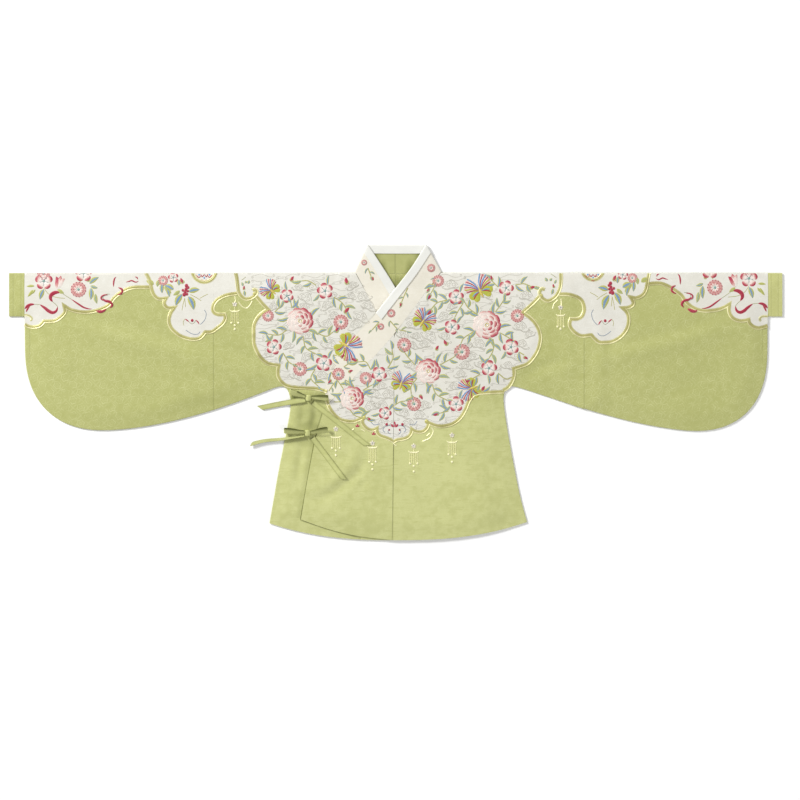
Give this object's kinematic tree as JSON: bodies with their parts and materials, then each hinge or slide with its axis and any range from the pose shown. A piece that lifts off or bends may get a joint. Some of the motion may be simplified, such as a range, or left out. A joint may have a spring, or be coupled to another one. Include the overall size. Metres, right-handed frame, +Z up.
{
  "type": "cross-collar hanfu jacket laid flat",
  "caption": "Cross-collar hanfu jacket with pipa sleeves, cuffs, white collar guard and side ties in bows, laid flat on its back.",
  "frame": {"origin": "on the table, under the middle of the laid-out jacket", "axes": "+X towards the wearer's left cuff, +Y towards the collar, +Z up out of the front"},
  "size_m": [1.8595, 0.7113, 0.019],
  "materials": {
    "green_damask": "soft satin with a tone on tone pattern",
    "ivory_damask": "soft satin",
    "white_guard": "plain weave"
  },
  "bodies": {
    "root": {"body_right": "green_damask", "body_left": "green_damask", "sleeve_right": "green_damask", "sleeve_left": "green_damask", "cuff_right": "green_damask", "cuff_left": "green_damask", "overlap_outer": "green_damask", "overlap_inner": "green_damask", "collar": "ivory_damask", "collar_guard": "white_guard", "tie_upper_knot": "green_damask", "tie_upper_stem_right": "green_damask", "tie_upper_stem_left": "green_damask", "tie_upper_loop_right": "green_damask", "tie_upper_loop_left": "green_damask", "tie_upper_tail_right": "green_damask", "tie_upper_tail_left": "green_damask", "tie_lower_knot": "green_damask", "tie_lower_stem_right": "green_damask", "tie_lower_stem_left": "green_damask", "tie_lower_loop_right": "green_damask", "tie_lower_loop_left": "green_damask", "tie_lower_tail_right": "green_damask", "tie_lower_tail_left": "green_damask"}
  },
  "joints": []
}
